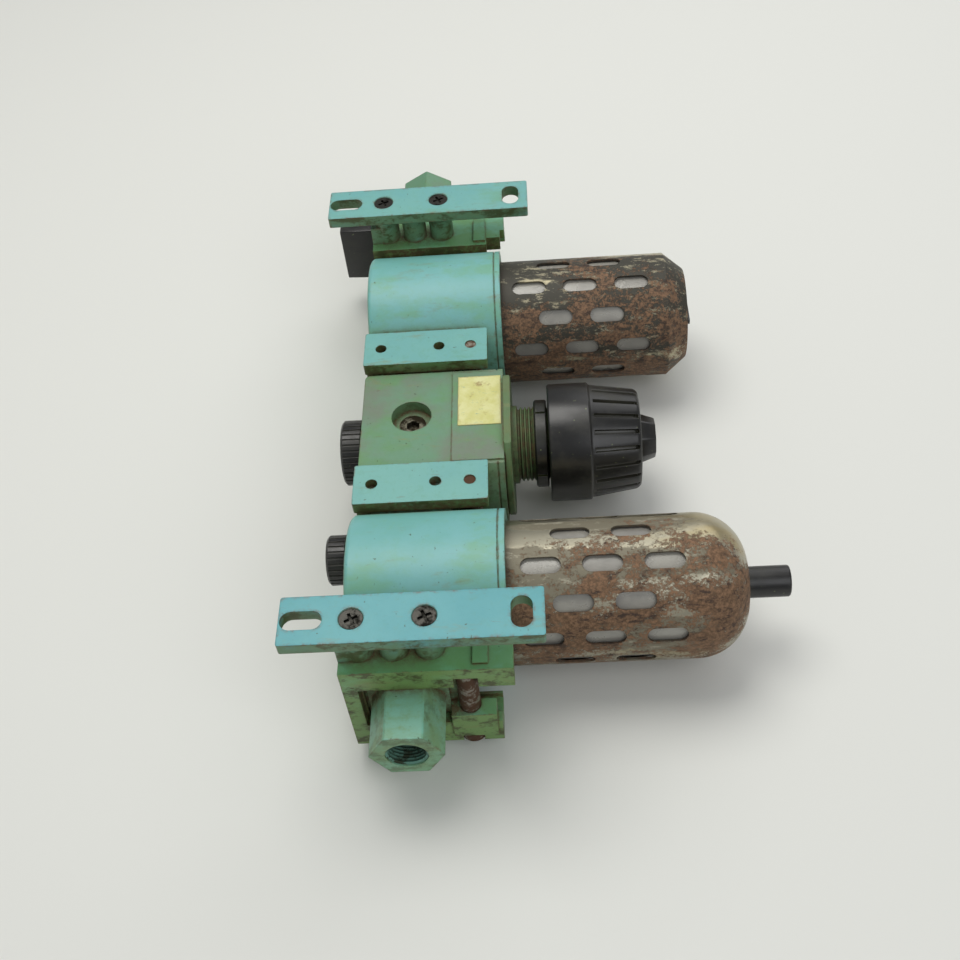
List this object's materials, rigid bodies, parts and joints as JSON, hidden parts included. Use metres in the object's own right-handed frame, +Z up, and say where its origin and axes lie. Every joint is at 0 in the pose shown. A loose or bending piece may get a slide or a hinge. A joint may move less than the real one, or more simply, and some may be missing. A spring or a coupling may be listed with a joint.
{
  "type": "filter regulator lubricator",
  "caption": "Clamped row of compressed-air modules: shut-off valve, bowl filter, pressure regulator and oil lubricator, with slotted wall bars and threaded ports.",
  "frame": {"origin": "midway between the two slotted wall bars, on the plane of their outer faces, midway between the upper and lower slots and level with the regulator's axis along the row", "axes": "+Z up as installed, bowls hanging along -Z; +Y towards the wall; +X along the row with the air flow, from the shut-off valve to the lubricator's outlet"},
  "size_m": [0.325, 0.077, 0.1869],
  "materials": {
    "cast_paint": "worn satin paint",
    "clamp_paint": "worn satin paint",
    "bar_paint": "worn satin paint",
    "screw_paint": "worn paint over steel",
    "bolt_steel": "aged plated steel",
    "inner_steel": "bright steel",
    "spring_steel": "drawn wire",
    "inner_brass": "turned",
    "ball_chrome": "polished",
    "plate_zinc": "satin",
    "guard_steel": "rusted plated sheet",
    "bowl_clear": "aged clear plastic",
    "dome_clear": "clear plastic",
    "black_plastic": "satin moulded",
    "neck_paint": "over-sprayed green paint",
    "inner_plastic": "moulded",
    "drain_plastic": "moulded",
    "element_sinter": "porous",
    "seal_rubber": "moulded",
    "plug_steel": "dull plated steel",
    "label_film": "faded printed film, blank"
  },
  "bodies": {
    "manifold": {"shutoff_valve_body": "cast_paint", "inlet_port_adapter": "cast_paint", "filter_body": "cast_paint", "regulator_body": "cast_paint", "lubricator_body": "cast_paint", "outlet_adapter": "cast_paint", "inlet_clamp_yoke": "clamp_paint", "filter_clamp_yoke": "clamp_paint", "lubricator_clamp_yoke": "clamp_paint", "outlet_clamp_yoke": "clamp_paint", "inlet_mounting_bar": "bar_paint", "outlet_mounting_bar": "bar_paint", "bar_screws": "screw_paint", "clamp_bolts": "bolt_steel", "element_stud": "inner_steel", "valve_spring": "spring_steel", "range_spring": "spring_steel", "drip_tube": "inner_brass", "sight_dome": "dome_clear", "ring_nut": "black_plastic", "valve_cap": "black_plastic", "bonnet": "neck_paint", "filter_deflector": "inner_plastic", "filter_baffle": "inner_plastic", "element_nut": "inner_plastic", "venturi_insert": "inner_plastic", "siphon_tube": "inner_plastic", "shutoff_seats": "inner_plastic", "filter_element": "element_sinter", "flange_seals": "seal_rubber", "diaphragm": "seal_rubber", "gauge_plugs": "plug_steel", "rating_label": "label_film"},
    "shutoff": {"shutoff_ball": "ball_chrome", "shutoff_stem": "inner_brass", "shutoff_handle": "black_plastic"},
    "adjuster": {"adjusting_knob": "black_plastic", "knob_lock_cap": "black_plastic", "adjusting_screw": "inner_steel"},
    "seat": {"spring_seat": "inner_steel"},
    "valve": {"poppet_valve": "inner_brass", "diaphragm_plate": "plate_zinc"},
    "filter_bowl_unit": {"filter_bowl": "bowl_clear", "filter_bowl_seal": "seal_rubber", "filter_guard": "guard_steel"},
    "filter_drain_valve": {"filter_drain": "drain_plastic"},
    "lubricator_bowl_unit": {"lubricator_bowl": "bowl_clear", "lubricator_bowl_seal": "seal_rubber", "lubricator_guard": "guard_steel", "drain_spring": "spring_steel"},
    "lubricator_drain_valve": {"lubricator_drain": "drain_plastic"},
    "feed_screw": {"feed_knob": "black_plastic"}
  },
  "joints": [
    {"name": "shutoff_turn", "type": "hinge", "parent": "manifold", "child": "shutoff", "pos_m": [-0.1375, -0.044, 0.037], "axis": [0, 0, 1], "range_deg": [0, 90]},
    {"name": "pressure_adjust", "type": "hinge", "parent": "manifold", "child": "adjuster", "pos_m": [0, -0.044, -0.068], "axis": [0, 0, -1], "range_deg": [0, 1440]},
    {"name": "spring_seat_travel", "type": "slide", "parent": "manifold", "child": "seat", "axis": [0, 0, 1], "range_m": [0, 0.0062], "deforming": ["range_spring"]},
    {"name": "valve_lift", "type": "slide", "parent": "manifold", "child": "valve", "axis": [0, 0, 1], "range_m": [0, 0.0015], "stiffness_N_per_m": 1500, "springref_m": -0.002, "deforming": ["valve_spring", "diaphragm"]},
    {"name": "filter_bowl_removal", "type": "slide", "parent": "manifold", "child": "filter_bowl_unit", "axis": [0, 0, -1], "range_m": [0, 0.1]},
    {"name": "filter_drain_turn", "type": "hinge", "parent": "filter_bowl_unit", "child": "filter_drain_valve", "pos_m": [-0.077, -0.044, -0.113], "axis": [0, 0, 1], "range_deg": [0, 90]},
    {"name": "lubricator_bowl_removal", "type": "slide", "parent": "manifold", "child": "lubricator_bowl_unit", "axis": [0, 0, -1], "range_m": [0, 0.105]},
    {"name": "lubricator_drain_push", "type": "slide", "parent": "lubricator_bowl_unit", "child": "lubricator_drain_valve", "axis": [0, 0, 1], "range_m": [0, 0.002], "stiffness_N_per_m": 400, "springref_m": -0.002, "deforming": ["drain_spring"]},
    {"name": "oil_feed_turn", "type": "hinge", "parent": "manifold", "child": "feed_screw", "pos_m": [0.0675, -0.0305, 0.03], "axis": [0, 0, 1], "range_deg": [0, 720]}
  ],
  "couplings": [
    {"joint": "spring_seat_travel", "follows": "pressure_adjust", "m_per_rad": 0.00023873}
  ]
}
